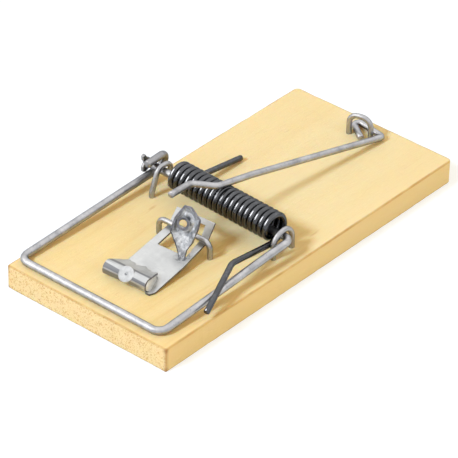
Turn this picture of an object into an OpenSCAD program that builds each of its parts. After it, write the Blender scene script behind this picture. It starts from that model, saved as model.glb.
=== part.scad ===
// Snap mouse trap: wooden base, wire hammer, torsion spring, latch bar,
// sheet-metal bait pedal and four wire staples.
// Origin: centre of the underside of the base. +X runs from the bait end to
// the latch end, +Y to the trap's left, +Z up. Millimetres.

/* [Base] */
// Length of the wooden base, along the grain
base_length = 98; // [94:0.5:104]
// Width of the base
base_width = 46; // [45:0.5:52]
// Thickness of the base
base_thickness = 6; // [5:0.25:9]
// Radius of the upright corners
base_corner_r = 0.5; // [0.3:0.1:2.5]

/* [Staples] */
// Diameter of the staple wire
staple_wire_d = 1.3; // [1.1:0.05:1.35]
// How deep the staple legs go into the wood
staple_depth = 4.2; // [3:0.1:4.6]
// Distance between the legs of an axle staple
axle_staple_span = 6.3; // [5:0.1:7]
// Distance between the legs of the pedal staple
pedal_staple_span = 14.8; // [14:0.1:16]
// Distance between the legs of the latch staple
latch_staple_span = 5.55; // [5.4:0.05:5.8]
// Height of the latch staple above the wood
latch_staple_height = 6; // [5.7:0.05:6.4]

/* [Hammer] */
// Diameter of the hammer wire
hammer_wire_d = 1.84; // [1.6:0.02:1.9]
// Distance from the axle to the striking bar, level
hammer_reach = 41.25; // [39:0.25:42]
// Distance between the middles of the two arms
hammer_width = 40.75; // [40.3:0.05:41.5]
// Height of the axle's middle above the wood
axle_height = 4.3; // [4.1:0.1:5]
// Radius of the wire at the two striking corners
hammer_corner_r = 2.4; // [2:0.1:5]
// Angle that the hammer swings from the bait end to the latch end
hammer_swing = 176; // [150:1:176]

/* [Spring] */
// Diameter of the spring wire
spring_wire_d = 1.0; // [0.8:0.02:1.04]
// Outer diameter of the coil
coil_outer_d = 6.95; // [6.5:0.05:7.1]
// Distance from one curl to the next
coil_pitch = 1.46; // [1.42:0.01:1.47]
// Number of curls
coil_turns = 20; // [14:1:20]

/* [Latch bar] */
// Diameter of the latch wire
latch_wire_d = 1.55; // [1.3:0.05:1.6]
// Length of the straight shaft
latch_shaft = 53.2; // [52:0.2:54.4]
// Length of the tip beyond the crook
latch_tip = 8; // [6:0.1:10]
// How far the crook steps aside
latch_crook = 3.9; // [2.4:0.1:4.6]
// Width of the eye at its closed end
latch_eye_width = 8.3; // [8:0.1:9]
// Angle that the latch bar lifts
latch_lift = 24; // [10:1:24]

/* [Pedal] */
// Thickness of the pedal sheet
sheet_t = 0.5; // [0.4:0.05:0.6]
// Width of the pedal
pedal_width = 11.9; // [11:0.1:12.4]
// Distance from the pivot to the front fold
pedal_reach = 20.3; // [18:0.1:22]
// Length of the upturned rear flange
flange_length = 4.2; // [3:0.1:4.5]
// Height of the bait fold at the front
fold_height = 3.5; // [3:0.1:3.7]
// Length of the folded-back lip
fold_length = 4.0; // [3:0.1:4.2]
// Diameter of the round bait button
button_d = 3.8; // [3:0.1:4.4]
// Height of the catch that the latch tip hooks into
catch_height = 11.4; // [9:0.1:11.6]
// Diameter of the hole in the catch
catch_hole_d = 2; // [1.6:0.1:2.2]

/* [Hidden] */
$fn = 48;

// Clearances
leg_clearance = 0.02;        // round each staple leg in the wood
running_clearance = 0.10;    // between pieces that move on each other
rest_gap = 0.06;             // under what only lies on something

wood_top = base_thickness;
hidden_leg = staple_depth;

// Axle and hammer
axle_x = -5.2;
axle_z = wood_top + axle_height;
bar_x = axle_x - hammer_reach;
bar_z = wood_top + hammer_wire_d / 2 + rest_gap;
hammer_mid_y = 1.23;         // the bar's middle lies a little to the left
left_skew = 0.6;             // the arms run back a little to the right
right_skew = 1.05;
left_arm_y = hammer_mid_y + hammer_width / 2;
right_arm_y = hammer_mid_y - hammer_width / 2;
hook_r = hammer_wire_d + 0.04;
hook_y = left_arm_y - left_skew;
hook_behind = 1.85;          // how far the hook runs on behind the axle
hook_before = 3.0;           // how far its end comes forward over the arm
crimp_t = 0.8;
axle_end_y = hook_y + hammer_wire_d / 2 + running_clearance;
axle_lean = 1.0;             // the axle's left end lies a little to the rear
axle_rise = 0.7;            // and a little higher than its right end
axle_from = [axle_x, right_arm_y - right_skew, axle_z];
axle_to = [axle_x + axle_lean, axle_end_y + crimp_t / 2, axle_z + axle_rise];
function axle_at(y) = axle_from + (axle_to - axle_from) * (y - axle_from.y) / (axle_to.y - axle_from.y);

// Axle staples, either side of the coil and inside the arms
arch_above = hammer_wire_d / 2 + running_clearance + staple_wire_d / 2;
left_staple_y = 17.4;
right_staple_y = -18.2;
right_arch_r = axle_staple_span / 2 - 0.05;
left_arch_r = 2.0;

// Spring: the coil hangs up against the underside of the axle
coil_r = (coil_outer_d - spring_wire_d) / 2;
coil_above = coil_r - spring_wire_d / 2 - hammer_wire_d / 2 - 0.4;
coil_right_y = -16.2;
coil_left_y = coil_right_y + coil_pitch * coil_turns;

// Latch bar
latch_x = base_length / 2 - 3.9;
latch_y = -2.03;
latch_z = wood_top + latch_wire_d / 2 + rest_gap;
latch_yaw = 6.15;
latch_bend_r = 1.05;
latch_fold_r = 1.0;
latch_far_side = 4.1;
latch_side = latch_far_side - latch_eye_width;
coil_to_latch = coil_outer_d / 2 + latch_wire_d / 2 + running_clearance;
latch_rest = axle_at(-0.6) + [0, 0, coil_above];
latch_run = latch_x - latch_rest.x;
latch_drop = latch_rest.z - latch_z;
latch_slope = atan(latch_drop / latch_run)
    + asin(coil_to_latch / norm([latch_run, latch_drop]));
latch_rise = atan(tan(latch_slope) * cos(latch_yaw));

// Latch staple: one leg inside the eye, one outside
latch_staple_x = base_length / 2 - 6.71;
latch_staple_y = -1.28;
latch_staple_turn = -78.6;

// Pedal, in its own frame: pivot at the origin, front towards -X
pedal_staple_x = -17.75;
pedal_staple_y = -0.57;
pedal_y = -1.1;
pedal_yaw = 4;
pedal_slope = 8;
flange_slope = 46;
cradle_r = staple_wire_d / 2 + 0.3;
fold_r = fold_height / 2;
lip_slope = -20;
button_side = 1.3;
pedal_pivot_drop = (pedal_reach - fold_r) * sin(pedal_slope) + (cradle_r + sheet_t) * cos(pedal_slope);
pedal_z = wood_top + rest_gap + pedal_pivot_drop + fold_r * (1 - cos(pedal_slope));
window_front = 5.9;
window_left = 3.5;
window_right = 4.1;
window_strip = 1.3;
catch_side = -3.5;
catch_turn = 25;
catch_lean = 27;

function unit(v) = v / norm(v);
function turn_at(a, b, c) = acos(unit(b - a) * unit(c - b));
function cut_at(a, b, c, r) = r * tan(turn_at(a, b, c) / 2);

// A straight round rod between two points
module rod(a, b, d) {
    run = b - a;
    translate(a)
        rotate([0, acos(run.z / norm(run)), atan2(run.y, run.x)])
            cylinder(d = d, h = norm(run));
}

// The bend of radius r at corner b, on the way from a to c
module bend(a, b, c, r, d) {
    into = unit(b - a);
    out = unit(c - b);
    side = unit(cross(into, out));
    inward = cross(side, into);
    centre = b - into * cut_at(a, b, c, r) + inward * r;
    multmatrix([
        [-inward.x, into.x, side.x, centre.x],
        [-inward.y, into.y, side.y, centre.y],
        [-inward.z, into.z, side.z, centre.z],
        [0, 0, 0, 1]])
        rotate_extrude(angle = turn_at(a, b, c), start = 0)
            translate([r, 0])
                circle(d = d);
}

// A wire through the corners p, with the bend radius r[i] at corner i. Each
// straight laps a little over the bends, which are a hair thinner.
lap = 0.08;
module wire(p, r, d) {
    last = len(p) - 1;
    for (i = [1 : last]) {
        run = unit(p[i] - p[i - 1]);
        from = i == 1 ? p[0] : p[i - 1] + run * (cut_at(p[i - 2], p[i - 1], p[i], r[i - 1]) - lap);
        to = i == last ? p[last] : p[i] - run * (cut_at(p[i - 1], p[i], p[i + 1], r[i]) - lap);
        rod(from, to, d);
        if (i < last) bend(p[i - 1], p[i], p[i + 1], r[i], d - 0.02);
    }
}

// The corners of a staple: legs at +-span/2 along X, crown at height top
function staple_corners(span, top) = [
    [-span / 2, 0, wood_top - hidden_leg],
    [-span / 2, 0, top],
    [span / 2, 0, top],
    [span / 2, 0, wood_top - hidden_leg]];

module staple(span, top, r) {
    color("silver")
        wire(staple_corners(span, top), [0, r, r, 0], staple_wire_d);
}

// A staple whose front leg leans back to a narrower crown over the rear leg
module leaning_staple(span, top, r) {
    corners = [
        [-span / 2, 0, wood_top - hidden_leg],
        [-span / 2, 0, wood_top + 0.9],
        [span / 2 - 2 * r - 0.2, 0, top],
        [span / 2, 0, top],
        [span / 2, 0, wood_top - hidden_leg]];
    color("silver")
        wire(corners, [0, 1.5, r, r, 0], staple_wire_d);
}

// The two blind holes that a staple's legs are driven into
module leg_holes(span) {
    for (side = [-1, 1])
        translate([side * span / 2, 0, wood_top - hidden_leg - 0.1])
            cylinder(d = staple_wire_d + 2 * leg_clearance, h = hidden_leg + 1);
}

module place_left_axle_staple() translate([axle_x, left_staple_y, 0]) children();
module place_right_axle_staple() translate([axle_x - 0.25, right_staple_y, 0]) children();
module place_pedal_staple() translate([pedal_staple_x, pedal_staple_y, 0]) rotate([0, 0, 90]) children();
module place_latch_staple() translate([latch_staple_x, latch_staple_y, 0]) rotate([0, 0, latch_staple_turn]) children();

// A rectangle with round corners, drawn exactly
module rounded_rectangle(l, w, r) {
    square([l - 2 * r, w], center = true);
    square([l, w - 2 * r], center = true);
    for (x = [-1, 1], y = [-1, 1])
        translate([x * (l / 2 - r), y * (w / 2 - r)])
            circle(r = r);
}

module base() {
    color("burlywood")
        difference() {
            linear_extrude(base_thickness)
                rounded_rectangle(base_length, base_width, base_corner_r);
            place_left_axle_staple() leg_holes(axle_staple_span);
            place_right_axle_staple() leg_holes(axle_staple_span);
            place_pedal_staple() leg_holes(pedal_staple_span);
            place_latch_staple() leg_holes(latch_staple_span);
        }
}

module left_axle_staple() {
    place_left_axle_staple()
        leaning_staple(axle_staple_span, axle_at(left_staple_y).z + arch_above, left_arch_r);
}

module right_axle_staple() {
    place_right_axle_staple()
        staple(axle_staple_span, axle_at(right_staple_y).z + arch_above, right_arch_r);
}

module pedal_staple() {
    place_pedal_staple() staple(pedal_staple_span, pedal_z, 1.8);
}

module latch_staple() {
    place_latch_staple()
        staple(latch_staple_span, wood_top + latch_staple_height - staple_wire_d / 2, 2.3);
}

// One wire: crimped end, axle, right arm, striking bar, left arm and the hook
// that closes round the axle's left end
module hammer() {
    eye = axle_at(hook_y);
    corners = [
        axle_to,
        axle_from,
        [bar_x, right_arm_y, bar_z],
        [bar_x, left_arm_y, bar_z],
        eye + [hook_behind + hook_r, 0, -hook_r - 0.08],
        eye + [hook_behind + hook_r, -0.75, hook_r + 0.08],
        eye + [-hook_before, -1.1, hook_r + 0.1]];
    radii = [0, 1.6, hammer_corner_r, hammer_corner_r, hook_r, hook_r, 0];
    color("silver") {
        wire(corners, radii, hammer_wire_d);
        translate(axle_at(axle_end_y))
            crimped_end();
    }
}

// The axle's end, squashed flat into two ears so that the hook stays on
module crimped_end() {
    ear = [[-0.9, -2.0], [0.4, -1.3], [0.8, 0], [0.6, 1.2], [-0.3, 1.6], [-1.0, 2.75], [-1.8, 2.5],
           [-1.7, 1.4], [-1.1, 0.5], [-1.9, -0.4], [-1.8, -1.6]];
    rotate([90, 0, 0])
        translate([0, 0, -crimp_t])
            linear_extrude(crimp_t)
                polygon(ear);
}

// Spring: front leg, curls and rear leg along one path, wound so that
// swinging the hammer back closes the coil
front_leg_end = [-35.65, -22.55, 8.25];
front_leg_bend = [-22.24, -18.0, 11.85];
rear_leg_end = [16.4, 12.3, wood_top + spring_wire_d / 2 + rest_gap];
rings_per_curl = 8;
wire_sides = 6;
front_leg_angle = 262;
rear_leg_angle = 264;
curl_steps = coil_turns * rings_per_curl;
curl_angle = (360 * coil_turns + rear_leg_angle - front_leg_angle) / curl_steps;
function curl_y(i) = coil_right_y + i * (coil_left_y - coil_right_y) / curl_steps;
function curl_point(i) = [
    axle_at(curl_y(i)).x + coil_r * cos(front_leg_angle + i * curl_angle),
    curl_y(i),
    axle_at(curl_y(i)).z + coil_above + coil_r * sin(front_leg_angle + i * curl_angle)];
function along(a, b, t) = a + (b - a) * t;
spring_path = [
    front_leg_end,
    along(front_leg_end, front_leg_bend, 0.88),
    along(front_leg_bend, along(front_leg_end, curl_point(0), 0.5), 0.06),
    along(front_leg_bend, curl_point(0), 0.1),
    along(front_leg_bend, curl_point(0), 0.87) - [0, 0.25, 0.3],
    for (i = [0 : curl_steps]) curl_point(i),
    rear_leg_end];
function heading(p, i) = unit(p[min(i + 1, len(p) - 1)] - p[max(i - 1, 0)]);
function ring(p, i) =
    let (ahead = heading(p, i), a = unit(cross(ahead, [0, 1, 0])), b = cross(ahead, a))
    [for (k = [0 : wire_sides - 1])
        p[i] + spring_wire_d / 2 * (a * cos(k * 360 / wire_sides) + b * sin(k * 360 / wire_sides))];
function tube_faces(rings, sides) = concat(
    [for (k = [1 : sides - 2]) [0, k, k + 1]],
    [for (i = [0 : rings - 2], k = [0 : sides - 1])
        [i * sides + k, (i + 1) * sides + (k + 1) % sides, i * sides + (k + 1) % sides]],
    [for (i = [0 : rings - 2], k = [0 : sides - 1])
        [i * sides + k, (i + 1) * sides + k, (i + 1) * sides + (k + 1) % sides]],
    [for (k = [1 : sides - 2]) [(rings - 1) * sides, (rings - 1) * sides + k + 1, (rings - 1) * sides + k]]);

// Least gap between one stretch of the wire and any other, half a curl or more away
function least_gap(p) = min([for (i = [0 : len(p) - 1], j = [i + rings_per_curl / 2 : 1 : len(p) - 1])
    norm(p[i] - p[j])]) - spring_wire_d;

module spring() {
    echo(spring_least_gap = least_gap(spring_path));
    color("dimgray")
        polyhedron(
            points = [for (i = [0 : len(spring_path) - 1]) each ring(spring_path, i)],
            faces = tube_faces(len(spring_path), wire_sides));
}

// Latch bar, flat in its own plane: the eye's closed end on the Y axis,
// the shaft running towards -X
module flat_latch() {
    crook = latch_shaft + 4.4;
    corners = [
        [-4.09, latch_side + 2.9, -0.75],
        [0.4, latch_far_side + 3, 0.23],
        [0, latch_side, 0],
        [11.2 - latch_shaft, latch_side + 0.3, 0],
        [-latch_shaft, latch_side - 0.3, 0],
        [-crook, latch_side - 0.3 + latch_crook, 0],
        [-crook - latch_tip, latch_side + 1.5, 0]];
    radii = [0, latch_fold_r, latch_bend_r, 20, 3, 2.5, 0];
    wire(corners, radii, latch_wire_d);
}

module latch_bar() {
    color("silver")
        translate([latch_x, latch_y, latch_z])
            rotate([0, 0, -latch_yaw])
                rotate([0, latch_rise, 0])
                    flat_latch();
}

// Side view of the pedal sheet, a line at the given depth below its upper
// face: rear flange, cradle under the pivot and plate, then the front fold
function arc(centre, r, from, to, steps) =
    [for (i = [0 : steps]) centre + r * [cos(from + (to - from) * i / steps), sin(from + (to - from) * i / steps)]];
plate_dir = [cos(pedal_slope), sin(pedal_slope)];
plate_down = [sin(pedal_slope), -cos(pedal_slope)];
flange_dir = [cos(flange_slope), sin(flange_slope)];
lip_dir = [cos(lip_slope), sin(lip_slope)];
fold_centre = plate_down * (cradle_r + sheet_t - fold_r) - plate_dir * (pedal_reach - fold_r);
function plate_side(depth) = concat(
    [(cradle_r + depth) * [sin(flange_slope), -cos(flange_slope)] + flange_dir * flange_length],
    arc([0, 0], cradle_r + depth, flange_slope - 90, pedal_slope - 90, 6),
    [fold_centre + (fold_r - sheet_t + depth) * plate_down]);
function fold_side(depth) = concat(
    [fold_centre + (fold_r - sheet_t + depth) * plate_down + plate_dir * 0.5],
    arc(fold_centre, fold_r - sheet_t + depth, pedal_slope - 90, lip_slope - 270, 12),
    [fold_centre + (fold_r - sheet_t + depth) * [-sin(lip_slope), cos(lip_slope)] + lip_dir * fold_length]);
function tab_side(depth) =
    let (low = fold_centre - [0, fold_r - sheet_t + depth])
    [fold_centre + (fold_r - sheet_t + depth) * plate_down + 1.25 * plate_dir, low, low - [fold_r, 0]];
function reversed(p) = [for (i = [len(p) - 1 : -1 : 0]) p[i]];

// A piece of bent sheet: its side view, cut to an outline seen from above
module bent_sheet(upper, lower, plan) {
    intersection() {
        rotate([90, 0, 0])
            linear_extrude(40, center = true)
                polygon(concat(upper, reversed(lower)));
        translate([0, 0, -10])
            linear_extrude(20)
                polygon(plan);
    }
}

module pedal_sheet() {
    w = pedal_width / 2;
    front = -pedal_reach - 1;
    back = 6;
    plate_plan = [[front, -w], [back, -w + 0.9], [back, w - 0.6], [front, w]];
    tab_plan = [[front + 1.5, -w + 1.4], [front + 2.7, -w + 0.3], [front + 4, -w], [front + 4, -w + 1.9],
                [front + 1.5, -w + 1.9]];
    tip = -pedal_reach + 6.2;
    fold_plan = [
        [front, -w + 1.8],
        [tip - 4, -w + 1.8],
        [tip + 1, -w + 2.9],
        [tip + 1, w - 0.9],
        [tip - 0.4, w + 0.1],
        [tip - 1.2, w + 0.9],
        [tip - 4, w + 1.45],
        [front, w + 1.45]];
    bent_sheet(plate_side(0), plate_side(sheet_t), plate_plan);
    bent_sheet(tab_side(0), tab_side(sheet_t), tab_plan);
    bent_sheet(fold_side(0), fold_side(sheet_t), fold_plan);
}

// The opening that the catch is cut from
module pedal_window() {
    window_rear = cradle_r * sin(flange_slope) + (flange_length - window_strip) * cos(flange_slope);
    translate([0, 0, -6])
        linear_extrude(12)
            polygon([
                [-window_front, window_left],
                [-window_front - 0.3, -window_right],
                [window_rear, 1 - window_right],
                [window_rear, window_left]]);
}

// The catch: a tongue from the opening's front edge, turned and leaned back
module catch_tongue() {
    h = catch_height;
    outline = [[-0.7, -0.6], [0.8, -0.6], [0.95, 0.15 * h], [2.1, 0.31 * h], [2.9, 0.54 * h], [3.3, 0.76 * h],
               [1.1, 0.98 * h], [-0.4, h], [-2.2, 0.75 * h], [-2.9, 0.49 * h], [-1.8, 0.31 * h], [-0.6, 0.07 * h]];
    rotate([0, 0, catch_turn])
        rotate([0, catch_lean, 0])
            rotate([90, 0, -90])
                linear_extrude(sheet_t, center = true)
                    difference() {
                        polygon(outline);
                        translate([-0.4, 0.66 * h])
                            circle(d = catch_hole_d);
                    }
}

module bait_button() {
    tilt = 45;
    translate([fold_centre.x, button_side, fold_centre.y])
        rotate([0, -tilt, 0])
            translate([0, 0, fold_r - sheet_t / 2])
                cylinder(d = button_d, h = sheet_t);
}

module pedal() {
    plate_z = -(cradle_r + sheet_t / 2) / cos(pedal_slope) - (window_front + 0.5) * tan(pedal_slope);
    color("gainsboro")
        translate([pedal_staple_x, pedal_y, pedal_z])
            rotate([0, 0, pedal_yaw]) {
                difference() {
                    pedal_sheet();
                    pedal_window();
                }
                translate([-window_front - 0.5, catch_side, plate_z])
                    catch_tongue();
                bait_button();
            }
}

base();
left_axle_staple();
right_axle_staple();
pedal_staple();
latch_staple();
hammer();
spring();
latch_bar();
pedal();
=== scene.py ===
import math
import bpy
import bmesh
from mathutils import Matrix, Vector, noise


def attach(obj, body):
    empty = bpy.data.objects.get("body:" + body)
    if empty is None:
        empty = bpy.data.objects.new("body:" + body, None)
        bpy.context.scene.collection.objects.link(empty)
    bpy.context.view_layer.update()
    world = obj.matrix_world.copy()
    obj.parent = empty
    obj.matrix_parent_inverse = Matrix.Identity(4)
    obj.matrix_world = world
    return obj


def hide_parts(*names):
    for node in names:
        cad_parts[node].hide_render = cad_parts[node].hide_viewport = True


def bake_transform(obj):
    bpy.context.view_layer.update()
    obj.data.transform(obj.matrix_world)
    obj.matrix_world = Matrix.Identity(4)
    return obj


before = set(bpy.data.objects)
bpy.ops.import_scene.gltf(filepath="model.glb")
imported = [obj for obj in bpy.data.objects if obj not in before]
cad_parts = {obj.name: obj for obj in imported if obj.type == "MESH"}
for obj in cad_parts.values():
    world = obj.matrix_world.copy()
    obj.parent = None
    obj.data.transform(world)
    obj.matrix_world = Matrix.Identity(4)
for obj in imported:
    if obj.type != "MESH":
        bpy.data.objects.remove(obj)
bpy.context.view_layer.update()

scene = bpy.context.scene
MM = 0.001
WHITE = (1.0, 1.0, 1.0, 1.0)
# the wooden base, in metres; the other pieces are worked out in millimetres
BASE_LENGTH = 0.098
BASE_WIDTH = 0.046
BASE_THICK = 0.006


# ---------------------------------------------------------------- colours and nodes

def linear(hex_colour):
    """An sRGB hex colour as the linear one that shaders take."""
    parts = [int(hex_colour[i:i + 2], 16) / 255 for i in (1, 3, 5)]
    return [c / 12.92 if c <= 0.04045 else ((c + 0.055) / 1.055) ** 2.4 for c in parts] + [1.0]


def add(tree, kind, settings=None, **links):
    """Adds one node. A link is a socket, or a plain value set on the input of that name or number."""
    made = tree.nodes.new(kind)
    for key, value in (settings or {}).items():
        setattr(made, key, value)
    for key, value in links.items():
        numbered = key[0] == "i" and key[1:].isdigit()
        connect(tree, value, made.inputs[int(key[1:]) if numbered else key.replace("_", " ")])
    return made


def connect(tree, value, socket):
    """Links a socket to an input, or sets a plain value on it."""
    if isinstance(value, bpy.types.NodeSocket):
        tree.links.new(value, socket)
    else:
        socket.default_value = value


def new_material(name):
    """A material without nodes yet, and its tree."""
    material = bpy.data.materials.new(name)
    material.use_nodes = True
    tree = material.node_tree
    tree.nodes.clear()
    return material, tree


def ramp(tree, value, stops):
    """A colour ramp from (place, hex colour) stops."""
    made = add(tree, "ShaderNodeValToRGB", i0=value)
    elements = made.color_ramp.elements
    while len(elements) < len(stops):
        elements.new(0.5)
    for element, (place, colour) in zip(elements, stops):
        element.position = place
        element.color = linear(colour)
    return made.outputs["Color"]


def band(tree, value, low, high, to_low=0.0, to_high=1.0):
    """value carried smoothly from low..high to to_low..to_high."""
    made = add(tree, "ShaderNodeMapRange", {"interpolation_type": "SMOOTHSTEP"},
               i0=value, i1=low, i2=high, i3=to_low, i4=to_high)
    return made.outputs[0]


def maths(tree, operation, first, second=0.0):
    """One step of arithmetic on sockets or plain numbers."""
    return add(tree, "ShaderNodeMath", {"operation": operation}, i0=first, i1=second).outputs[0]


def tint(tree, share, under, over):
    """over laid on under by share."""
    made = add(tree, "ShaderNodeMix", {"data_type": "RGBA"})
    for number, value in ((0, share), (6, under), (7, over)):
        connect(tree, value, made.inputs[number])
    return made.outputs[2]


def glaze(tree, share, strength, under, hex_colour):
    """A colour laid over another by share, and nowhere by more than strength."""
    return tint(tree, maths(tree, "MULTIPLY", share, strength), under, linear(hex_colour))


def object_place(tree):
    """The place on the piece, in metres."""
    return add(tree, "ShaderNodeTexCoord").outputs["Object"]


def object_coordinates(tree, scale=(1, 1, 1), turn=(0, 0, 0)):
    """The place on the piece, drawn out and turned for a texture."""
    return add(tree, "ShaderNodeMapping", None, i0=object_place(tree), i2=turn, i3=scale).outputs[0]


def x_y_z(tree):
    """The three coordinates of the place on the piece, in metres."""
    return add(tree, "ShaderNodeSeparateXYZ", None, i0=object_place(tree)).outputs


def grain(tree, where, scale, detail=3.0, roughness=0.5, distortion=0.0):
    """Soft noise between 0 and 1."""
    return add(tree, "ShaderNodeTexNoise", None, Vector=where, Scale=scale, Detail=detail,
               Roughness=roughness, Distortion=distortion).outputs["Fac"]


def finish_surface(tree, colour, metallic, roughness, bump=None, bump_height=0.0, **settings):
    """The surface itself, with a relief of bump_height metres where bump is given."""
    shader = add(tree, "ShaderNodeBsdfPrincipled", None, Base_Color=colour, Metallic=metallic,
                 Roughness=roughness, **settings)
    if bump is not None:
        relief = add(tree, "ShaderNodeBump", None, Height=bump, Distance=bump_height, Strength=1.0)
        tree.links.new(relief.outputs[0], shader.inputs["Normal"])
    add(tree, "ShaderNodeOutputMaterial", None, Surface=shader.outputs[0])


# ---------------------------------------------------------------- materials

def depth_inside(tree, face, place):
    """How far inside one face of the base a place lies, in millimetres."""
    return maths(tree, "MULTIPLY", maths(tree, "SUBTRACT", face, place), 1000.0)


def planed_pine():
    """Planed pine offcut, sawn at the ends: pale straw colour, faint lengthwise growth lines,
    fine pores that show as dots on the sawn ends, and rubbed brown arrises."""
    material, tree = new_material("planed_pine")
    along, across, high = x_y_z(tree)
    # growth lines 2 to 4 mm apart, a few centimetres long
    rings = grain(tree, object_coordinates(tree, (14, 260, 420)), 1.0, 4.0, 0.55, 0.3)
    broad = grain(tree, object_coordinates(tree, (9, 60, 90)), 1.0, 2.0, 0.5)
    fibre = grain(tree, object_coordinates(tree, (160, 3200, 3200)), 1.0, 2.0, 0.6)
    colour = ramp(tree, rings, [(0.28, "#efcc8b"), (0.44, "#f5d699"), (0.60, "#f7dba1"), (0.78, "#f2d093")])
    # the board is paler, nearly cream, towards its latch end
    colour = tint(tree, band(tree, along, -0.03, 0.02, 0.0, 0.6), colour, linear("#f5e3b8"))
    colour = tint(tree, band(tree, broad, 0.42, 0.68, 0.0, 0.2), colour, linear("#efc882"))
    colour = tint(tree, band(tree, fibre, 0.5, 0.75, 0.0, 0.14), colour, linear("#e3b873"))
    # a few short resin flecks along the grain
    fleck = grain(tree, object_coordinates(tree, (110, 520, 520)), 1.0, 2.0, 0.5)
    colour = tint(tree, band(tree, fleck, 0.70, 0.80, 0.0, 0.4), colour, linear("#cf9a55"))
    # how far inside the nearest faces a place lies
    from_end = depth_inside(tree, BASE_LENGTH / 2, maths(tree, "ABSOLUTE", along))
    from_side = depth_inside(tree, BASE_WIDTH / 2, maths(tree, "ABSOLUTE", across))
    from_top = depth_inside(tree, BASE_THICK, high)
    from_flat = maths(tree, "MINIMUM", from_top, maths(tree, "MULTIPLY", high, 1000.0))
    on_end = band(tree, from_end, 0.1, 0.3, 1.0, 0.0)
    on_side = band(tree, from_side, 0.1, 0.3, 1.0, 0.0)
    # sawn ends: open pores of about 0.3 mm, drawn a little coarse so that they show
    pores = grain(tree, object_coordinates(tree, (420, 3000, 3000)), 1.0, 2.0, 0.5)
    pore_dots = band(tree, pores, 0.51, 0.66)
    # the sawn ends are glazed a little darker: partly the end grain's own colour, partly painted shade for
    # the light that falls on them
    colour = glaze(tree, on_end, 0.8, colour, "#edcd95")
    colour = glaze(tree, maths(tree, "MULTIPLY", pore_dots, on_end), 0.8, colour, "#cc9549")
    # painted shade: the long sides are glazed darker and more orange than the top
    colour = glaze(tree, on_side, 0.75, colour, "#e0be7c")
    # rubbed arrises: two of the three distances are small together
    near_end = maths(tree, "ADD", from_end, from_flat)
    near_side = maths(tree, "ADD", from_side, from_flat)
    upright = maths(tree, "ADD", from_end, from_side)
    nearest = maths(tree, "MINIMUM", maths(tree, "MINIMUM", near_end, near_side), upright)
    patches = grain(tree, object_coordinates(tree, (90, 140, 500)), 1.0, 5.0, 0.7)
    rubbed = maths(tree, "MULTIPLY", band(tree, nearest, 0.1, 0.6, 1.0, 0.0),
                   band(tree, patches, 0.32, 0.66, 0.5, 1.0))
    colour = glaze(tree, rubbed, 0.75, colour, "#ad7631")
    # the upright corners are the dirtiest, most of all at their upper and lower points
    stain = grain(tree, object_coordinates(tree, (300, 300, 210)), 1.0, 3.0, 0.6)
    corner_dirt = maths(tree, "MULTIPLY", band(tree, upright, 0.2, 1.2, 1.0, 0.0),
                        band(tree, stain, 0.34, 0.62))
    corner_dirt = maths(tree, "MULTIPLY", corner_dirt, band(tree, from_flat, 0.2, 1.5, 1.0, 0.3))
    colour = glaze(tree, corner_dirt, 0.85, colour, "#8f5d22")
    relief = maths(tree, "ADD", maths(tree, "MULTIPLY", fibre, 0.4),
                   maths(tree, "MULTIPLY", pore_dots, -0.5))
    # light travels a millimetre or two inside the wood, which warms the edges of shadows
    finish_surface(tree, colour, 0.0, 0.62, relief, 0.00006, IOR=1.5, Subsurface_Weight=0.3,
                   Subsurface_Radius=(1.0, 0.42, 0.12), Subsurface_Scale=0.0025)
    return material


def bright_zinc_wire():
    """Drawn mild-steel wire, bright zinc plated: light grey, slightly cloudy, with soft long highlights
    and small dull scuffs from the bending tools."""
    material, tree = new_material("bright_zinc_wire")
    cloud = grain(tree, object_coordinates(tree), 420.0, 3.0, 0.6)
    scuff = grain(tree, object_coordinates(tree), 1500.0, 2.0, 0.6)
    colour = ramp(tree, cloud, [(0.30, "#9b9b9d"), (0.55, "#b2b1b2"), (0.75, "#c4c3c3")])
    colour = tint(tree, band(tree, scuff, 0.58, 0.72, 0.0, 0.5), colour, linear("#77787c"))
    # the hook, over the axle's left end, is coloured a darker grey
    along, across = x_y_z(tree)[:2]
    at_hook = maths(tree, "MULTIPLY", band(tree, across, 0.0185, 0.0198), band(tree, along, -0.018, -0.008))
    colour = glaze(tree, at_hook, 0.55, colour, "#7b7a7c")
    roughness = band(tree, cloud, 0.3, 0.7, 0.30, 0.42)
    finish_surface(tree, colour, 1.0, roughness, scuff, 0.00001, Specular_Tint=(0.62, 0.64, 0.68, 1.0))
    return material


def oil_tempered_steel():
    """Oil-tempered spring wire: dark blue-grey scale, smooth enough for small sharp highlights."""
    material, tree = new_material("oil_tempered_steel")
    scale_film = grain(tree, object_coordinates(tree), 500.0, 3.0, 0.6)
    colour = ramp(tree, scale_film, [(0.30, "#3a3b3d"), (0.55, "#48494c"), (0.75, "#5d5e61")])
    roughness = band(tree, scale_film, 0.3, 0.7, 0.20, 0.28)
    finish_surface(tree, colour, 1.0, roughness, scale_film, 0.000004, Coat_Weight=0.7, Coat_Roughness=0.06,
                   Specular_Tint=(0.30, 0.31, 0.34, 1.0))
    return material


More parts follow.
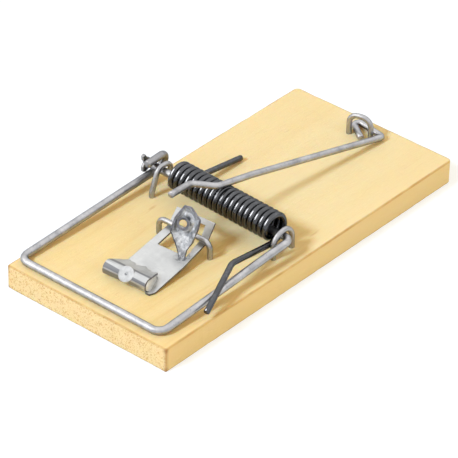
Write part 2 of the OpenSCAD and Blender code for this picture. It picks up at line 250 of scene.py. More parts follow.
def galvanised_sheet(name, tones, blotch, streaks, metallic=0.75):
    """Hot-dip galvanised steel sheet, stamped and folded: pale, dull zinc where flat, with faint rolling
    lines drawn out along it, dark streaks painted along the roll at the front as a reflection, and darker
    marks at the catch's foot, partly press marks and partly painted shade. tones are its three greys,
    blotch sets how small its clouds are, streaks how strongly the painted reflection shows on the roll, and
    a low metallic leaves it chalky."""
    material, tree = new_material(name)
    cloud = grain(tree, object_coordinates(tree), blotch, 3.0, 0.6)
    rolling = grain(tree, object_coordinates(tree, (2600, 160, 2600)), 1.0, 2.0, 0.6)
    colour = ramp(tree, cloud, [(0.34, tones[0]), (0.52, tones[1]), (0.68, tones[2])])
    colour = tint(tree, band(tree, rolling, 0.58, 0.75, 0.0, 0.3), colour, linear("#a6a7ab"))
    # painted reflection: dark streaks of about a millimetre along the roll's front only, standing for the
    # dark bands that the curved roll mirrors
    streak_noise = grain(tree, object_coordinates(tree, (900, 30, 900), (0, 0, math.radians(-4))), 1.0, 1.0, 0.5)
    place = x_y_z(tree)
    on_roll = maths(tree, "MULTIPLY", band(tree, place[0], -0.0343, -0.0335, streaks, 0.0),
                    band(tree, place[2], 0.0066, 0.0071))
    lines = maths(tree, "MULTIPLY", on_roll, band(tree, streak_noise, 0.48, 0.58))
    colour = tint(tree, lines, colour, linear("#6f7075"))
    # dark marks where the catch's stem rises from the plate: partly press marks, partly painted shade in
    # the crease between stem and plate
    from_foot = add(tree, "ShaderNodeVectorMath", {"operation": "DISTANCE"}, i0=object_place(tree),
                    i1=(-0.0237, -0.0053, 0.0080)).outputs[1]
    pressed = grain(tree, object_coordinates(tree), 1300.0, 2.0, 0.6)
    marks = maths(tree, "MULTIPLY", band(tree, from_foot, 0.0010, 0.0024, 0.8, 0.0),
                  band(tree, pressed, 0.46, 0.60))
    colour = tint(tree, marks, colour, linear("#66676b"))
    roughness = band(tree, cloud, 0.3, 0.7, 0.32, 0.42)
    finish_surface(tree, colour, metallic, roughness, rolling, 0.000012)
    return material


def sheared_steel():
    """The cut edge of the sheet: bare steel without zinc, dark grey and slightly brown."""
    material, tree = new_material("sheared_steel")
    cloud = grain(tree, object_coordinates(tree), 900.0, 2.0, 0.6)
    colour = ramp(tree, cloud, [(0.3, "#56555a"), (0.7, "#85848a")])
    finish_surface(tree, colour, 0.8, 0.45)
    return material


# ---------------------------------------------------------------- pieces

def make_piece(name, bm, material, body, slot, *nodes):
    """A piece from a mesh in metres, on its body if it has one, in place of the CAD nodes."""
    mesh = bpy.data.meshes.new(name)
    bm.to_mesh(mesh)
    bm.free()
    piece = bpy.data.objects.new(name, mesh)
    scene.collection.objects.link(piece)
    mesh.materials.append(material)
    mesh.polygons.foreach_set("use_smooth", [True] * len(mesh.polygons))
    if body:
        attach(piece, body)
    if nodes:
        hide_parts(*nodes)
    return piece


def made_verts(result):
    """The vertices among what a mesh operator made."""
    return [g for g in result["geom"] if isinstance(g, bmesh.types.BMVert)]


def soften(bm, edges, width, segments):
    """Rounds edges to a width in the mesh's own unit."""
    bmesh.ops.bevel(bm, geom=edges, offset=width, segments=segments, profile=0.5, affect="EDGES",
                    material=-1)


DEGREES_PER_STEP = 9


def bent_path(corners, radii, step=1.5):
    """Points along a wire through the corners, in millimetres, each corner rounded to its radius."""
    corners = [Vector(c) for c in corners]
    points = [corners[0]]
    for before, corner, after, radius in zip(corners, corners[1:], corners[2:], radii[1:]):
        into = (corner - before).normalized()
        out = (after - corner).normalized()
        turn = into.angle(out)
        cut = radius * math.tan(turn / 2)
        side = into.cross(out).normalized()
        centre = corner - into * cut + side.cross(into) * radius
        start = corner - into * cut
        points += straight_points(points[-1], start, step)
        steps = max(3, math.ceil(math.degrees(turn) / DEGREES_PER_STEP))
        for i in range(1, steps + 1):
            points.append(centre + Matrix.Rotation(turn * i / steps, 3, side) @ (start - centre))
    points += straight_points(points[-1], corners[-1], step)
    return points


def straight_points(start, end, step):
    """Points at most step apart from start, which is left out, to end."""
    count = max(1, math.ceil((end - start).length / step))
    return [start.lerp(end, i / count) for i in range(1, count + 1)]


# a cut end's chamfer as a share of the diameter, and what it leaves of the radius
CUT_CHAMFER = 0.1
CUT_RADIUS = 0.78


def wire_mesh(points, diameter, sides=20, cut_ends=True):
    """A round wire along the points, in millimetres, as a mesh in metres. Cut ends that show are
    chamfered a little, by a share of the diameter."""
    radius = [1.0] * len(points)
    if cut_ends:
        chamfer = diameter * CUT_CHAMFER
        first = points[0] + (points[1] - points[0]).normalized() * chamfer
        last = points[-1] + (points[-2] - points[-1]).normalized() * chamfer
        points = [points[0], first, *points[1:-1], last, points[-1]]
        radius = [CUT_RADIUS, *radius, CUT_RADIUS]
    curve = bpy.data.curves.new("wire_line", "CURVE")
    curve.dimensions = "3D"
    curve.bevel_depth = diameter / 2 * MM
    curve.bevel_resolution = sides // 4 - 1
    curve.use_fill_caps = True
    curve.twist_mode = "MINIMUM"
    line = curve.splines.new("POLY")
    line.points.add(len(points) - 1)
    for spot, point, share in zip(line.points, points, radius):
        spot.co = (*(point * MM), 1.0)
        spot.radius = share
    holder = bpy.data.objects.new("wire_line", curve)
    scene.collection.objects.link(holder)
    bpy.context.view_layer.update()
    mesh = bpy.data.meshes.new_from_object(holder.evaluated_get(bpy.context.evaluated_depsgraph_get()))
    bm = bmesh.new()
    bm.from_mesh(mesh)
    bpy.data.meshes.remove(mesh)
    bpy.data.objects.remove(holder)
    bmesh.ops.remove_doubles(bm, verts=bm.verts, dist=0.00001)
    bmesh.ops.recalc_face_normals(bm, faces=bm.faces)
    return bm


# diameters of the wires, in millimetres
STAPLE_WIRE = 1.3
HAMMER_WIRE = 1.84
LATCH_WIRE = 1.55
SPRING_WIRE = 1.38
# from the axle's middle up to the middle of a staple's crown
ARCH_ABOVE = HAMMER_WIRE / 2 + 0.1 + STAPLE_WIRE / 2
# where the staples' legs end in the wood
STAPLE_FOOT = 2.0
# the two ends of the axle's middle line
AXLE_RIGHT = Vector((-5.2, -20.195, 10.3))
AXLE_LEFT = Vector((-4.2, 22.425, 11.0))


def axle_at(y):
    """The point on the axle's middle line at y."""
    return AXLE_RIGHT.lerp(AXLE_LEFT, (y - AXLE_RIGHT.y) / (AXLE_LEFT.y - AXLE_RIGHT.y))


# the base's mesh: its roundings in metres, its steps, and how far from the arrises it is rubbed
FRONT_CORNER_R = 0.0004
REAR_CORNER_R = 0.0012
ARRIS_R = 0.0003
LENGTH_STEPS = 66
WIDTH_STEPS = 32
ARRIS_REACH = 0.0005
NEAR_FACE = 0.001
RUB_DEPTH = 0.00007


def pine_block():
    """The base: upright corners rounded, arrises softened and rubbed a little uneven."""
    bm = bmesh.new()
    bmesh.ops.create_cube(bm, size=1.0)
    bmesh.ops.scale(bm, vec=(BASE_LENGTH, BASE_WIDTH, BASE_THICK), verts=bm.verts)
    bmesh.ops.translate(bm, vec=(0, 0, BASE_THICK / 2), verts=bm.verts)
    upright = [e for e in bm.edges if abs(e.verts[0].co.z - e.verts[1].co.z) > BASE_THICK / 2]
    front = [e for e in upright if e.verts[0].co.x < 0]
    rear = [e for e in upright if e.verts[0].co.x > 0]
    soften(bm, front, FRONT_CORNER_R, 5)
    soften(bm, rear, REAR_CORNER_R, 5)
    arrises = [e for e in bm.edges if len({round(f.normal.z) for f in e.link_faces}) == 2]
    soften(bm, arrises, ARRIS_R, 3)
    for i in range(1, LENGTH_STEPS):
        cut_across(bm, (-BASE_LENGTH / 2 + BASE_LENGTH * i / LENGTH_STEPS, 0, 0), (1, 0, 0))
    for i in range(1, WIDTH_STEPS):
        cut_across(bm, (0, -BASE_WIDTH / 2 + BASE_WIDTH * i / WIDTH_STEPS, 0), (0, 1, 0))
    bmesh.ops.recalc_face_normals(bm, faces=bm.faces)
    for vert in bm.verts:
        spot = vert.co.copy()
        depths = (BASE_LENGTH / 2 - abs(spot.x), BASE_WIDTH / 2 - abs(spot.y),
                  min(spot.z, BASE_THICK - spot.z))
        if sum(sorted(depths)[:2]) < ARRIS_REACH:
            rub = max(0.0, noise.noise(spot * 380)) + 0.6 * max(0.0, noise.noise(spot * 1500))
            ways = (-spot.x, -spot.y, BASE_THICK / 2 - spot.z)
            inward = [math.copysign(1, way) * (depth < NEAR_FACE) for way, depth in zip(ways, depths)]
            vert.co += Vector(inward) * RUB_DEPTH * rub
    return bm


def cut_across(bm, point, normal):
    """Cuts every face that a plane meets, and keeps both sides."""
    everything = bm.verts[:] + bm.edges[:] + bm.faces[:]
    bmesh.ops.bisect_plane(bm, geom=everything, plane_co=point, plane_no=normal)


def staple_mesh(corners, radii, place, turn=0.0):
    """A wire staple in its own upright plane, turned and set on the base, its legs down in the wood."""
    spin = Matrix.Rotation(math.radians(turn), 3, "Z")
    points = [spin @ p + Vector((*place, 0)) for p in bent_path(corners, radii, 1.0)]
    return wire_mesh(points, STAPLE_WIRE, cut_ends=False)


def upright_staple(span, top, radius):
    """Corners and bend radii of a staple with two upright legs."""
    left, right = -span / 2, span / 2
    corners = [(left, 0, STAPLE_FOOT), (left, 0, top), (right, 0, top), (right, 0, STAPLE_FOOT)]
    return corners, [0, radius, radius, 0]


# the plane of the hook that ends the left arm, how far behind the axle it rises, and its bends
HOOK_Y = 21.005
HOOK_BEHIND = 1.85
HOOK_R = HAMMER_WIRE + 0.04
# the striking bar's middle line, and where the two arms meet it
BAR_X = -46.45
BAR_Z = 6.98
RIGHT_ARM_Y = -19.145
LEFT_ARM_Y = 21.605
# (x, z) outline of the axle's squashed end, and its thickness
EARS = [(-0.9, -2.0), (0.4, -1.3), (0.8, 0), (0.6, 1.2), (-0.3, 1.6), (-1.0, 2.75), (-1.8, 2.5),
        (-1.7, 1.4), (-1.1, 0.5), (-1.9, -0.4), (-1.8, -1.6)]
EAR_THICK = 0.8


def hammer_mesh():
    """Axle, two arms, striking bar and hook in one wire, with the axle's end squashed into two ears."""
    eye = axle_at(HOOK_Y)
    corners = [
        AXLE_LEFT,
        AXLE_RIGHT,
        (BAR_X, RIGHT_ARM_Y, BAR_Z),
        (BAR_X, LEFT_ARM_Y, BAR_Z),
        eye + Vector((HOOK_BEHIND + HOOK_R, 0, -HOOK_R - 0.08)),
        eye + Vector((HOOK_BEHIND + HOOK_R, -0.75, HOOK_R + 0.08)),
        eye + Vector((-3.0, -1.1, HOOK_R + 0.1))]
    bm = wire_mesh(bent_path(corners, [0, 1.6, 2.4, 2.4, HOOK_R, HOOK_R, 0]), HAMMER_WIRE, 24)
    squashed = bmesh.new()
    end = axle_at(HOOK_Y + HAMMER_WIRE / 2 + 0.1)
    rim = [squashed.verts.new((end + Vector((x, 0.0, z))) * MM) for x, z in EARS]
    pressed = bmesh.ops.extrude_face_region(squashed, geom=[squashed.faces.new(rim)])
    bmesh.ops.translate(squashed, vec=(0, EAR_THICK * MM, 0), verts=made_verts(pressed))
    bmesh.ops.recalc_face_normals(squashed, faces=squashed.faces)
    soften(squashed, squashed.edges[:], 0.0002, 3)
    loose = bpy.data.meshes.new("ears")
    squashed.to_mesh(loose)
    squashed.free()
    bm.from_mesh(loose)
    bpy.data.meshes.remove(loose)
    return bm


# the middle of the wire at the rear of the eye, and the bar's turn on the base
LATCH_PLACE = Vector((45.1, -2.03, 6.835))
LATCH_TURN = math.radians(-6.15)


def latch_mesh():
    """The long latch bar: an open eye at the rear, a straight shaft, a crook aside and the tip."""
    side, far_side, shaft, crook = -4.2, 7.1, 53.2, 57.6
    corners = [
        (-4.09, side + 2.9, -0.75),
        (0.4, far_side, 0.23),
        (0, side, 0),
        (-42, side + 0.3, 0),
        (-shaft, side - 0.3, 0),
        (-crook, side + 3.6, 0),
        (-crook - 8, side + 1.5, 0)]
    turn = Matrix.Rotation(LATCH_TURN, 3, "Z") @ Matrix.Rotation(latch_rise(), 3, "Y")
    path = bent_path(corners, [0, 1.0, 1.05, 20, 3, 2.5, 0])
    return wire_mesh([turn @ p + LATCH_PLACE for p in path], LATCH_WIRE)


def latch_rise():
    """The slope at which the shaft rests on top of the coil."""
    rest = axle_at(-0.6) + Vector((0, 0, COIL_ABOVE))
    run, drop = LATCH_PLACE.x - rest.x, rest.z - LATCH_PLACE.z
    touch = COIL_OUTSIDE / 2 + LATCH_WIRE / 2 + 0.1
    slope = math.atan(drop / run) + math.asin(touch / math.hypot(run, drop))
    return math.atan(math.tan(slope) * math.cos(LATCH_TURN))


# the coil hangs on the axle, so its middle lies above the axle's
COIL_R = 2.85
COIL_OUTSIDE = 6.95
COIL_ABOVE = 1.155
COIL_FROM = -16.2
COIL_TO = 13.0
COIL_TURNS = 20
STEPS_PER_TURN = 30
# where on its circle the coil meets the front leg and the rear leg, in degrees, and the legs' points
FRONT_ANGLE = 262
REAR_ANGLE = 264
FRONT_TIP = Vector((-35.65, -22.55, 8.25))
FRONT_BEND = Vector((-22.24, -18.0, 11.85))
REAR_TIP = Vector((16.4, 12.3, 6.75))


def spring_mesh():
    """Torsion spring: front leg over the arm, twenty turns hung on the axle, rear leg on the wood."""
    total = 360 * COIL_TURNS + REAR_ANGLE - FRONT_ANGLE
    count = COIL_TURNS * STEPS_PER_TURN
    coil = []
    for i in range(count + 1):
        y = COIL_FROM + (COIL_TO - COIL_FROM) * i / count
        angle = math.radians(FRONT_ANGLE + total * i / count)
        middle = axle_at(y)
        coil.append(Vector((middle.x + COIL_R * math.cos(angle), y,
                            middle.z + COIL_ABOVE + COIL_R * math.sin(angle))))
    low = FRONT_BEND.lerp(coil[0], 0.87) - Vector((0, 0.25, 0.3))
    front = bent_path([FRONT_TIP, FRONT_BEND, low, coil[0]], [0, 3.6, 2.0, 0])
    rear = straight_points(coil[-1], REAR_TIP, 1.5)
    return wire_mesh(front[:-1] + coil + rear, SPRING_WIRE)


# ---------------------------------------------------------------- pedal

# the pivot, the pedal's turn on the base, and the slopes of its parts
PEDAL_PLACE = Vector((-17.75, -1.1, 10.0946))
PEDAL_TURN = Matrix.Rotation(math.radians(4), 3, "Z")
SLOPE = math.radians(8)
FLANGE = math.radians(46)
LIP = math.radians(-20)
# the sheet's middle surface, from the rear: flange, bend round the pivot, plate, roll and lip
SHEET = 0.5
CRADLE = 0.95 + SHEET / 2
FOLD_R = 1.75 - SHEET / 2
FOLD_CENTRE = Vector((-18.411, -2.2846))
FLANGE_LENGTH = 4.2
BEND_LENGTH = CRADLE * math.radians(38)
RUN = 18.55
ROLL_SWEEP = math.radians(208)
ROLL_LENGTH = FOLD_R * ROLL_SWEEP
LIP_LENGTH = 4.0
ROLL_FROM = FLANGE_LENGTH + BEND_LENGTH + RUN
LIP_FROM = ROLL_FROM + ROLL_LENGTH
SHEET_LENGTH = LIP_FROM + LIP_LENGTH


def on_pedal(point):
    """A point of the pedal's own frame, in millimetres, set in the trap, in metres."""
    return (PEDAL_TURN @ Vector(point) + PEDAL_PLACE) * MM


def side_view(s):
    """(x, z) of the sheet's middle at the length s from the rear flange's edge."""
    flange_dir = Vector((math.cos(FLANGE), math.sin(FLANGE)))
    plate_dir = Vector((math.cos(SLOPE), math.sin(SLOPE)))
    if s <= FLANGE_LENGTH:
        return CRADLE * Vector((math.sin(FLANGE), -math.cos(FLANGE))) + flange_dir * (FLANGE_LENGTH - s)
    s -= FLANGE_LENGTH
    if s <= BEND_LENGTH:
        angle = FLANGE - math.pi / 2 - s / CRADLE
        return CRADLE * Vector((math.cos(angle), math.sin(angle)))
    s -= BEND_LENGTH
    down = Vector((math.sin(SLOPE), -math.cos(SLOPE)))
    if s <= RUN:
        return CRADLE * down - plate_dir * s
    s -= RUN
    if s <= ROLL_LENGTH:
        angle = SLOPE - math.pi / 2 - s / FOLD_R
        return FOLD_CENTRE + FOLD_R * Vector((math.cos(angle), math.sin(angle)))
    s -= ROLL_LENGTH
    lip_dir = Vector((math.cos(LIP), math.sin(LIP)))
    return FOLD_CENTRE + FOLD_R * Vector((-math.sin(LIP), math.cos(LIP))) + lip_dir * s


def between(value, table):
    """Straight-line reading of value in a table of (place, result)."""
    for (a, u), (b, v) in zip(table, table[1:]):
        if value <= b:
            return u + (v - u) * max(0.0, (value - a) / (b - a))
    return table[-1][1]


def places(start, length, count):
    """So many even places along a length, without its end."""
    return [start + length * i / count for i in range(count)]


WINDOW_REAR = 1.3
WINDOW_FRONT = FLANGE_LENGTH + BEND_LENGTH + 5.9
ROWS = (places(0, WINDOW_REAR, 4)
        + places(WINDOW_REAR, WINDOW_FRONT - WINDOW_REAR, 26)
        + places(WINDOW_FRONT, ROLL_FROM - WINDOW_FRONT, 24)
        + places(ROLL_FROM, ROLL_LENGTH, 26)
        + places(LIP_FROM, LIP_LENGTH, 12)
        + [SHEET_LENGTH])
# four lines along the sheet, each as (length, y), and how many columns lie between each two
RIGHT_EDGE = [(0, -5.05), (14.0, -5.85), (ROLL_FROM, -5.65), (ROLL_FROM + 1.4, -5.0), (SHEET_LENGTH, -5.0)]
RIGHT_LINE = [(0, -3.1), (WINDOW_REAR, -3.1), (WINDOW_FRONT, -4.35), (ROLL_FROM, -4.15),
              (LIP_FROM, -4.15), (SHEET_LENGTH, -3.05)]
LEFT_LINE = [(0, 3.5), (WINDOW_FRONT, 3.5), (ROLL_FROM, 4.0), (SHEET_LENGTH, 4.0)]
LEFT_EDGE = [(0, 5.35), (ROLL_FROM - 0.6, 5.95), (ROLL_FROM, 7.2), (ROLL_FROM + 0.5, 7.4),
             (LIP_FROM, 7.35), (SHEET_LENGTH - 2.6, 6.9), (SHEET_LENGTH - 1.2, 5.9), (SHEET_LENGTH, 5.0)]
BANDS = ((6, RIGHT_EDGE, RIGHT_LINE), (22, RIGHT_LINE, LEFT_LINE), (6, LEFT_LINE, LEFT_EDGE))
COLUMNS = 34
WINDOW_COLUMNS = range(6, 28)
# the flat corner beside the roll: its length, and the slit between it and the roll
TAB_COLUMNS = range(6)
TAB_LENGTH = 1.2
SLIT_COLUMN = 5
SLIT_Y = -3.95
TAB_Y = -4.25
# room for rounding when lengths are compared
ROUNDING = 0.01


def across_sheet(column, s):
    """y of one column of the sheet at the length s."""
    for count, right, left in BANDS:
        if column <= count:
            return between(s, right) + (between(s, left) - between(s, right)) * column / count
        column -= count


def sheet_point(column, s):
    """A point of the sheet in the pedal's own frame."""
    y = across_sheet(column, s)
    place = side_view(s)
    if column in TAB_COLUMNS and s > ROLL_FROM:
        # the front right corner stays flat on the wood beside the roll
        place = Vector((FOLD_CENTRE.x - (s - ROLL_FROM), FOLD_CENTRE.y - FOLD_R))
        y = SLIT_Y if column == SLIT_COLUMN else min(y, TAB_Y)
    elif s > LIP_FROM:
        # the free edge is ragged from the shears
        share = (s - LIP_FROM) / LIP_LENGTH
        ragged = 0.28 * math.sin(y * 1.9 + 0.6) + 0.22 * math.sin(y * 4.3) - 0.1
        place = side_view(s + ragged * share)
        place.y += 0.18 * share * math.sin(y * 1.4 + 1.0)
    return place.x, y, place.y


def pedal_sheet_mesh():
    """The stamped sheet: flange, cradle and window at the rear, plate, and the lip rolled back over
    the front."""
    rows = len(ROWS) - 1
    bm = bmesh.new()
    bmesh.ops.create_grid(bm, x_segments=COLUMNS, y_segments=rows, size=0.5)
    cell = bm.verts.layers.int.new("cell")
    for vert in bm.verts:
        column = round((vert.co.x + 0.5) * COLUMNS)
        row = round((vert.co.y + 0.5) * rows)
        vert[cell] = column * 1000 + row
        vert.co = sheet_point(column, ROWS[row])
    gone = []
    for face in bm.faces:
        cells = [divmod(vert[cell], 1000) for vert in face.verts]
        column = min(c for c, r in cells)
        s = ROWS[min(r for c, r in cells)]
        in_window = column in WINDOW_COLUMNS and WINDOW_REAR - ROUNDING <= s < WINDOW_FRONT - ROUNDING
        past_tab = column in TAB_COLUMNS and s > ROLL_FROM + TAB_LENGTH
        in_slit = column == SLIT_COLUMN and s > ROLL_FROM - ROUNDING
        if in_window or past_tab or in_slit:
            gone.append(face)
    bmesh.ops.delete(bm, geom=gone, context="FACES")
    for vert in bm.verts:
        vert.co = on_pedal(vert.co)
    bmesh.ops.recalc_face_normals(bm, faces=bm.faces)
    return bm


# the catch laid flat, up from its foot, its hole, how it leans on the plate, and its mesh's rings as
# shares of the way from the hole to the outline
CATCH_OUTLINE = [(-0.7, -0.6), (0.8, -0.6), (0.95, 1.7), (2.1, 3.5), (2.9, 6.2), (3.3, 8.7), (1.1, 11.2),
                 (-0.4, 11.4), (-2.2, 8.55), (-2.9, 5.6), (-1.8, 3.5), (-0.6, 0.8)]
HOLE = Vector((-0.4, 7.5))
HOLE_R = 1.15
HOLE_RISE = 0.3
CATCH_LEAN = Matrix.Rotation(math.radians(25), 3, "Z") @ Matrix.Rotation(math.radians(27), 3, "Y")
CATCH_FOOT = Vector((-6.4, -3.5, -2.111))
CATCH_RINGS = (0.06, 0.14, 0.22, 0.3, 0.38, 0.46, 0.54, 0.62, 0.7, 0.78, 0.86, 0.93, 1.0)


def outline_reach(angle):
    """Distance from the hole's middle to the catch's outline in one direction."""
    ray = Vector((math.cos(angle), math.sin(angle)))
    reach = None
    for a, b in zip(CATCH_OUTLINE, CATCH_OUTLINE[1:] + CATCH_OUTLINE[:1]):
        a, b = Vector(a) - HOLE, Vector(b) - HOLE
        edge = b - a
        cross = ray.x * edge.y - ray.y * edge.x
        if abs(cross) < 1e-9:
            continue
        t = (a.x * edge.y - a.y * edge.x) / cross
        u = (a.x * ray.y - a.y * ray.x) / cross
        if t > 0 and -1e-6 <= u <= 1 + 1e-6 and (reach is None or t > reach):
            reach = t
    return reach


def catch_point(angle, share):
    """A point of the catch laid flat, so far from the hole's rim to the outline, and its height."""
    reach = outline_reach(angle)
    far = HOLE_R + (reach - HOLE_R) * share
    flat = HOLE + Vector((math.cos(angle), math.sin(angle))) * far
    dish = 1.1 * math.sin(math.pi * min(1.0, (1 - share) * 0.62)) * min(1.0, reach / 3.0)
    sunk = dish * between(flat.y, [(0, 0.0), (3, 0.5), (6, 1.0), (11.4, 0.9)])
    rim = 0.25 * max(0.0, share - 0.7) / 0.3
    # a hood pressed up round the far side of the hole, and the puckers of a hard pressing
    hood = 0.42 * math.exp(-((far - 2.05) / 0.38) ** 2) * max(0.0, math.cos(angle - 1.2))
    pucker = 0.42 * noise.noise(Vector((flat.x * 0.75, flat.y * 0.55, 3.1)))
    pucker += 0.2 * noise.noise(Vector((flat.x * 1.7, flat.y * 1.3, 7.7)))
    pucker *= between(flat.y, [(0, 0.2), (4, 1.0)])
    return Vector((flat.x, flat.y, rim + hood + pucker - sunk))


def catch_mesh():
    """The catch: a shield-shaped tongue, dished, with a hole and a hood above it."""
    bm = bmesh.new()
    bmesh.ops.create_circle(bm, segments=96, radius=HOLE_R)
    bmesh.ops.translate(bm, vec=(HOLE.x, HOLE.y, HOLE_RISE), verts=bm.verts)
    edges = bm.edges[:]
    for share in CATCH_RINGS:
        grown = bmesh.ops.extrude_edge_only(bm, edges=edges)
        edges = [g for g in grown["geom"] if isinstance(g, bmesh.types.BMEdge)]
        for vert in made_verts(grown):
            vert.co = catch_point(math.atan2(vert.co.y - HOLE.y, vert.co.x - HOLE.x), share)
    for vert in bm.verts:
        side, up, depth = vert.co
        vert.co = on_pedal(CATCH_LEAN @ Vector((-depth, -side, up)) + CATCH_FOOT)
    bmesh.ops.recalc_face_normals(bm, faces=bm.faces)
    return bm


# the web that shuts the roll's right end: its size, its middle's y, its lean and its bulge, whose edge is
# at the root of CROWN_AREA, and how the wedge under the lip turns in
WEB_R = 1.32
WEDGE_LENGTH = 3.3
WEB_INSET = 0.15
WEB_Y = -4.08
WEB_LEAN = 0.3
WEB_CROWN = 0.12
CROWN_AREA = 1.75
WEDGE_TURN = 0.27


def roll_end_mesh():
    """The roll's right end, crushed shut: a slightly crowned web that leans in from the flat corner and
    fills the wedge under the lip."""
    round_part = [LIP + math.pi / 2 + ROLL_SWEEP * i / 26 for i in range(27)]
    rim = [Vector((math.cos(angle), math.sin(angle), 0)) * WEB_R for angle in round_part]
    rim.append(rim[-1] + Vector((math.cos(SLOPE), math.sin(SLOPE), 0)) * WEDGE_LENGTH)
    rim.append(rim[0] + Vector((math.cos(LIP), math.sin(LIP), 0)) * WEDGE_LENGTH)
    bm = bmesh.new()
    web = bm.faces.new([bm.verts.new(point) for point in rim])
    for ring in range(2):
        bmesh.ops.inset_region(bm, faces=[web], thickness=WEB_INSET, depth=0.0)
    for vert in bm.verts:
        along, rise = vert.co.x, vert.co.y
        crown = WEB_CROWN * max(0.0, 1 - (along * along + rise * rise) / CROWN_AREA)
        y = WEB_Y + WEB_LEAN * rise - crown + WEDGE_TURN * max(0.0, along - 0.3)
        vert.co = on_pedal((FOLD_CENTRE.x + along, y, FOLD_CENTRE.y + rise))
    bmesh.ops.recalc_face_normals(bm, faces=bm.faces)
    return bm


# the button's size, its underside's distance from the roll's middle, and its y
BUTTON_R = 1.9
BUTTON_THICK = 0.5
BUTTON_ABOVE = 1.28
BUTTON_Y = 1.3


def central_height(face):
    """A face's height, or -1 for a face away from the middle."""
    middle = face.calc_center_median()
    return middle.z if max(abs(middle.x), abs(middle.y)) < 0.05 else -1


def button_mesh():
    """The round bait button, a flat disc pressed on the roll with a small dimple."""
    bm = bmesh.new()
    bmesh.ops.create_circle(bm, cap_ends=True, segments=40, radius=BUTTON_R)
    raised = bmesh.ops.extrude_face_region(bm, geom=bm.faces[:])
    bmesh.ops.translate(bm, vec=(0, 0, BUTTON_THICK), verts=made_verts(raised))
    bmesh.ops.recalc_face_normals(bm, faces=bm.faces)
    rim = [e for e in bm.edges if all(abs(v.co.z - BUTTON_THICK) < 1e-4 for v in e.verts)]
    soften(bm, rim, 0.16, 3)
    # the flat top, and the dimple's wall and floor
    for inset, sink in ((1.15, 0.0), (0.25, -0.02), (0.12, -0.16)):
        top = max(bm.faces, key=central_height)
        bmesh.ops.inset_region(bm, faces=[top], thickness=inset, depth=sink)
    tilt = Matrix.Rotation(math.radians(-45), 3, "Y")
    centre = Vector((FOLD_CENTRE.x, BUTTON_Y, FOLD_CENTRE.y))
    for vert in bm.verts:
        vert.co = on_pedal(centre + tilt @ (vert.co + Vector((0, 0, BUTTON_ABOVE))))
    return bm


def thicken(piece, thickness, offset):
    """Gives a surface its thickness in millimetres; offset -1 puts it all behind, 0 on both sides."""
    wall = piece.modifiers.new("wall", "SOLIDIFY")
    wall.thickness = thickness * MM
    wall.offset = offset
    return wall


def sheet_metal(piece, edge_material):
    """Makes folded sheet of a surface, with softened edges of the material of its cut."""
    wall = thicken(piece, SHEET, 0.0)
    wall.use_even_offset = True
    edge = piece.modifiers.new("edge", "BEVEL")
    edge.width = 0.00008
    edge.segments = 2
    edge.limit_method = "ANGLE"
    edge.angle_limit = math.radians(50)
    piece.data.materials.append(edge_material)
    wall.material_offset_rim = 1


# ---------------------------------------------------------------- build

pine = planed_pine()
zinc = bright_zinc_wire()
spring_steel = oil_tempered_steel()
# the flat sheet: even, softly clouded, with a painted reflection of dark streaks on the roll
sheet_zinc = galvanised_sheet("galvanised_sheet", ("#b7b7b6", "#c3c3c2", "#cdcdcb"), 260.0, 0.8)
# the button: brighter and finely mottled
button_zinc = galvanised_sheet("galvanised_button", ("#b6b6b6", "#c8c8c8", "#d4d4d3"), 900.0, 0.0)
# the catch: hard pressed, so blotched from dark grey to nearly white
pressed_zinc = galvanised_sheet("pressed_galvanised_sheet", ("#838488", "#bebfc1", "#ededee"), 700.0, 0.0)
# the crushed end of the roll: a near-white copy of the sheet, painted light that makes it look lit, and
# chalky
painted_light_roll_end_zinc = galvanised_sheet("painted_light_roll_end_zinc", ("#e2e2e4", "#ebebed", "#f2f2f3"), 700.0, 0.0, 0.25)
cut_edge = sheared_steel()

base = make_piece("wooden_base", pine_block(), pine, "base_body", "pine", "base")
# only the small faces of the rounded arrises are smooth
base.data.polygons.foreach_set("use_smooth", [p.area < 6e-7 for p in base.data.polygons])


def wire_piece(node, mesh, body="base_body"):
    """A zinc wire in place of one CAD node."""
    return make_piece(node + "_wire", mesh, zinc, body, "zinc_wire", node)


# the left staple's front leg leans
lean_top = axle_at(17.4).z + ARCH_ABOVE
lean_corners = [(-3.15, 0, STAPLE_FOOT), (-3.15, 0, 6.9), (-1.05, 0, lean_top), (3.15, 0, lean_top),
                (3.15, 0, STAPLE_FOOT)]
left_staple = staple_mesh(lean_corners, [0, 1.5, 2.0, 2.0, 0], (-5.2, 17.4))
right_staple = staple_mesh(*upright_staple(6.3, axle_at(-18.2).z + ARCH_ABOVE, 3.1), (-5.45, -18.2))
pedal_staple = staple_mesh(*upright_staple(14.8, PEDAL_PLACE.z, 1.8), (-17.75, -0.57), 90)
latch_staple = staple_mesh(*upright_staple(5.55, 11.35, 2.3), (42.29, -1.28), -78.6)
zinc_wires = [
    wire_piece("left_axle_staple", left_staple),
    wire_piece("right_axle_staple", right_staple),
    wire_piece("pedal_staple", pedal_staple),
    wire_piece("latch_staple", latch_staple),
    wire_piece("hammer", hammer_mesh(), "hammer_body"),
    wire_piece("latch_bar", latch_mesh(), "latch_body")]

spring = make_piece("torsion_spring", spring_mesh(), spring_steel, None, "spring_wire", "spring")
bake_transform(spring)

pedal = make_piece("pedal_sheet", pedal_sheet_mesh(), sheet_zinc, "pedal_body", "zinc_sheet", "pedal")
sheet_metal(pedal, cut_edge)
catch = make_piece("pedal_catch", catch_mesh(), pressed_zinc, "pedal_body", "zinc_sheet")
sheet_metal(catch, cut_edge)
roll_end = make_piece("pedal_roll_end", roll_end_mesh(), painted_light_roll_end_zinc, "pedal_body", "zinc_sheet")
thicken(roll_end, 0.2, -1.0)
make_piece("bait_button", button_mesh(), button_zinc, "pedal_body", "zinc_sheet")


# ---------------------------------------------------------------- floor, light and camera

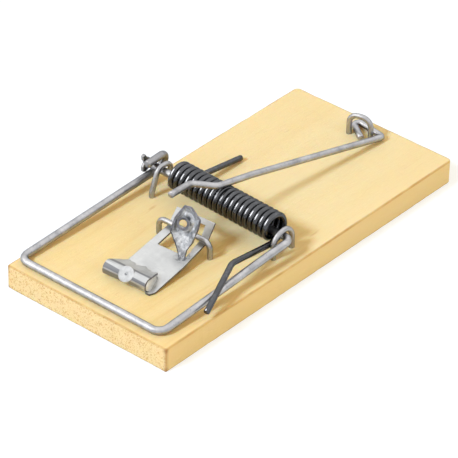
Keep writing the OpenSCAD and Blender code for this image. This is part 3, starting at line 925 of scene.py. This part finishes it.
def studio_floor():
    """White card, which the camera and the metal see as evenly white while it still takes shadows."""
    bm = bmesh.new()
    bmesh.ops.create_grid(bm, x_segments=1, y_segments=1, size=3.0)
    mesh = bpy.data.meshes.new("floor")
    bm.to_mesh(mesh)
    bm.free()
    material, tree = new_material("white_card")
    rays = add(tree, "ShaderNodeLightPath")
    seen = maths(tree, "MAXIMUM", rays.outputs["Is Camera Ray"], rays.outputs["Is Glossy Ray"])
    colour = tint(tree, seen, linear("#dcdcdc"), (0.36, 0.39, 0.43, 1.0))
    glow = maths(tree, "MULTIPLY", seen, 0.68)
    finish_surface(tree, colour, 0.0, 0.9, Emission_Color=WHITE, Emission_Strength=glow)
    mesh.materials.append(material)
    floor = bpy.data.objects.new("floor", mesh)
    floor.location = (0, 0, -0.00002)
    scene.collection.objects.link(floor)


def soft_lamp(name, place, size, power, colour, mirrored=True, lights=True, only=()):
    """A round soft lamp aimed at the trap. mirrored says that metal shows it, lights that it lights the
    wood, and only names the pieces that it is kept to."""
    lamp = bpy.data.lights.new(name, "AREA")
    lamp.color = colour
    lamp.shape = "DISK"
    lamp.size = size
    lamp.energy = power
    holder = bpy.data.objects.new(name, lamp)
    holder.visible_glossy = mirrored
    holder.visible_diffuse = lights
    holder.location = place
    holder.rotation_euler = (-Vector(place)).to_track_quat("-Z", "Y").to_euler()
    scene.collection.objects.link(holder)
    if only:
        kept_to = bpy.data.collections.new(name + "_falls_on")
        for piece in only:
            kept_to.objects.link(piece)
        holder.light_linking.receiver_collection = kept_to


def studio_air():
    """Light from all round: warm and even on what is matt, and for metal dimmer near the horizon."""
    world = bpy.data.worlds.new("studio_air")
    world.use_nodes = True
    tree = world.node_tree
    tree.nodes.clear()
    rays = add(tree, "ShaderNodeLightPath")
    seen = maths(tree, "MAXIMUM", rays.outputs["Is Camera Ray"], rays.outputs["Is Transmission Ray"])
    direction = add(tree, "ShaderNodeTexCoord").outputs["Generated"]
    up = add(tree, "ShaderNodeSeparateXYZ", None, i0=direction).outputs[2]
    mirrored = band(tree, up, 0.0, 0.75, 0.75, 1.50)
    glossy = maths(tree, "MULTIPLY", rays.outputs["Is Glossy Ray"], mirrored)
    strength = maths(tree, "MAXIMUM", maths(tree, "MAXIMUM", seen, glossy), 0.66)
    colour = tint(tree, rays.outputs["Is Diffuse Ray"], WHITE, (1.0, 0.79, 0.38, 1.0))
    air = add(tree, "ShaderNodeBackground", None, Color=colour, Strength=strength)
    add(tree, "ShaderNodeOutputWorld", None, Surface=air.outputs[0])
    scene.world = world


# the spring's and the wires' highlights come from the same side, upper left
GLINT_PLACE = (-0.60, 0.545, 0.58)
# the camera: its place in millimetres, the direction back to it, and its roll
CAMERA_PLACE = Vector((-478.09, -399.63, 429.89))
CAMERA_BACK = Vector((-0.63099, -0.52948, 0.56702)).normalized()
CAMERA_ROLL = math.radians(1.30)


studio_floor()
studio_air()
soft_lamp("key", (-0.72, 0.17, 0.67), 0.22, 10.3, (0.54, 0.72, 1.0), mirrored=False)
soft_lamp("sheen", GLINT_PLACE, 0.8, 22.0, WHITE[:3], lights=False, only=(spring,))
soft_lamp("sparkle", GLINT_PLACE, 1.0, 4.2, WHITE[:3], lights=False, only=zinc_wires)
soft_lamp("side_fill", (0.1, -0.95, 0.22), 0.6, 4.0, (0.75, 0.88, 1.0), mirrored=False)

camera_data = bpy.data.cameras.new("camera")
camera_data.sensor_width = 36.0
camera_data.lens = 267.04
camera_data.shift_x = -0.0011
camera_data.shift_y = 0.0011
camera_data.clip_end = 20.0
camera = bpy.data.objects.new("camera", camera_data)
level = (-CAMERA_BACK).cross(Vector((0, 0, 1))).normalized()
above = CAMERA_BACK.cross(level)
right = level * math.cos(CAMERA_ROLL) + above * math.sin(CAMERA_ROLL)
up = above * math.cos(CAMERA_ROLL) - level * math.sin(CAMERA_ROLL)
turn = Matrix((right, up, CAMERA_BACK)).transposed().to_4x4()
camera.matrix_world = Matrix.Translation(CAMERA_PLACE * MM) @ turn
scene.collection.objects.link(camera)
scene.camera = camera
scene.view_settings.view_transform = "Standard"
